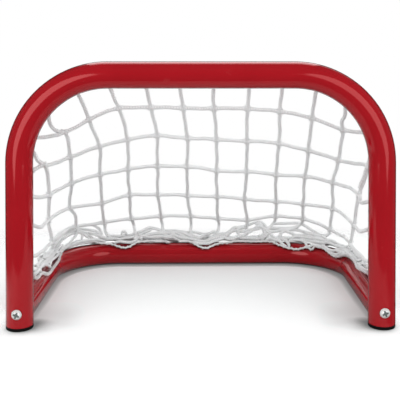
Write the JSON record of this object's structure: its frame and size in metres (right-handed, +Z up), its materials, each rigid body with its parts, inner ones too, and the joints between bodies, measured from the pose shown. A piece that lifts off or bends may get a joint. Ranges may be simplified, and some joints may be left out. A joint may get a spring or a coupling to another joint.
{
  "type": "hockey goal net",
  "caption": "Small free-standing hockey goal: a bent red tube frame with rounded top corners, a U-shaped base bolted to its posts, and a white cord net gathered along the base.",
  "frame": {"origin": "on the floor, in the middle of the goal's width and depth", "axes": "+Z up, +X along the crossbar, to the right seen from the mouth, +Y from the mouth to the rear bar"},
  "size_m": [0.56, 0.3553, 0.382],
  "materials": {
    "red_powder_coat": "glossy powder coat on steel tube",
    "black_plastic": "moulded black polyethylene",
    "zinc_steel": "bright zinc plate",
    "clip_plastic": "natural nylon",
    "net_cord": "braided white polyester cord"
  },
  "bodies": {
    "root": {"front_frame": "red_powder_coat", "base_frame": "red_powder_coat", "left_foot_cap": "black_plastic", "right_foot_cap": "black_plastic", "left_base_screw": "zinc_steel", "right_base_screw": "zinc_steel", "left_base_nut": "zinc_steel", "right_base_nut": "zinc_steel", "left_leg_plug": "black_plastic", "right_leg_plug": "black_plastic", "frame_net_clips": "clip_plastic", "base_net_clips": "clip_plastic", "border_cord": "net_cord", "foot_cord": "net_cord", "net_back": "net_cord", "net_left_corner": "net_cord", "net_right_corner": "net_cord", "net_left_side": "net_cord", "net_right_side": "net_cord", "net_gather": "net_cord"}
  },
  "joints": []
}
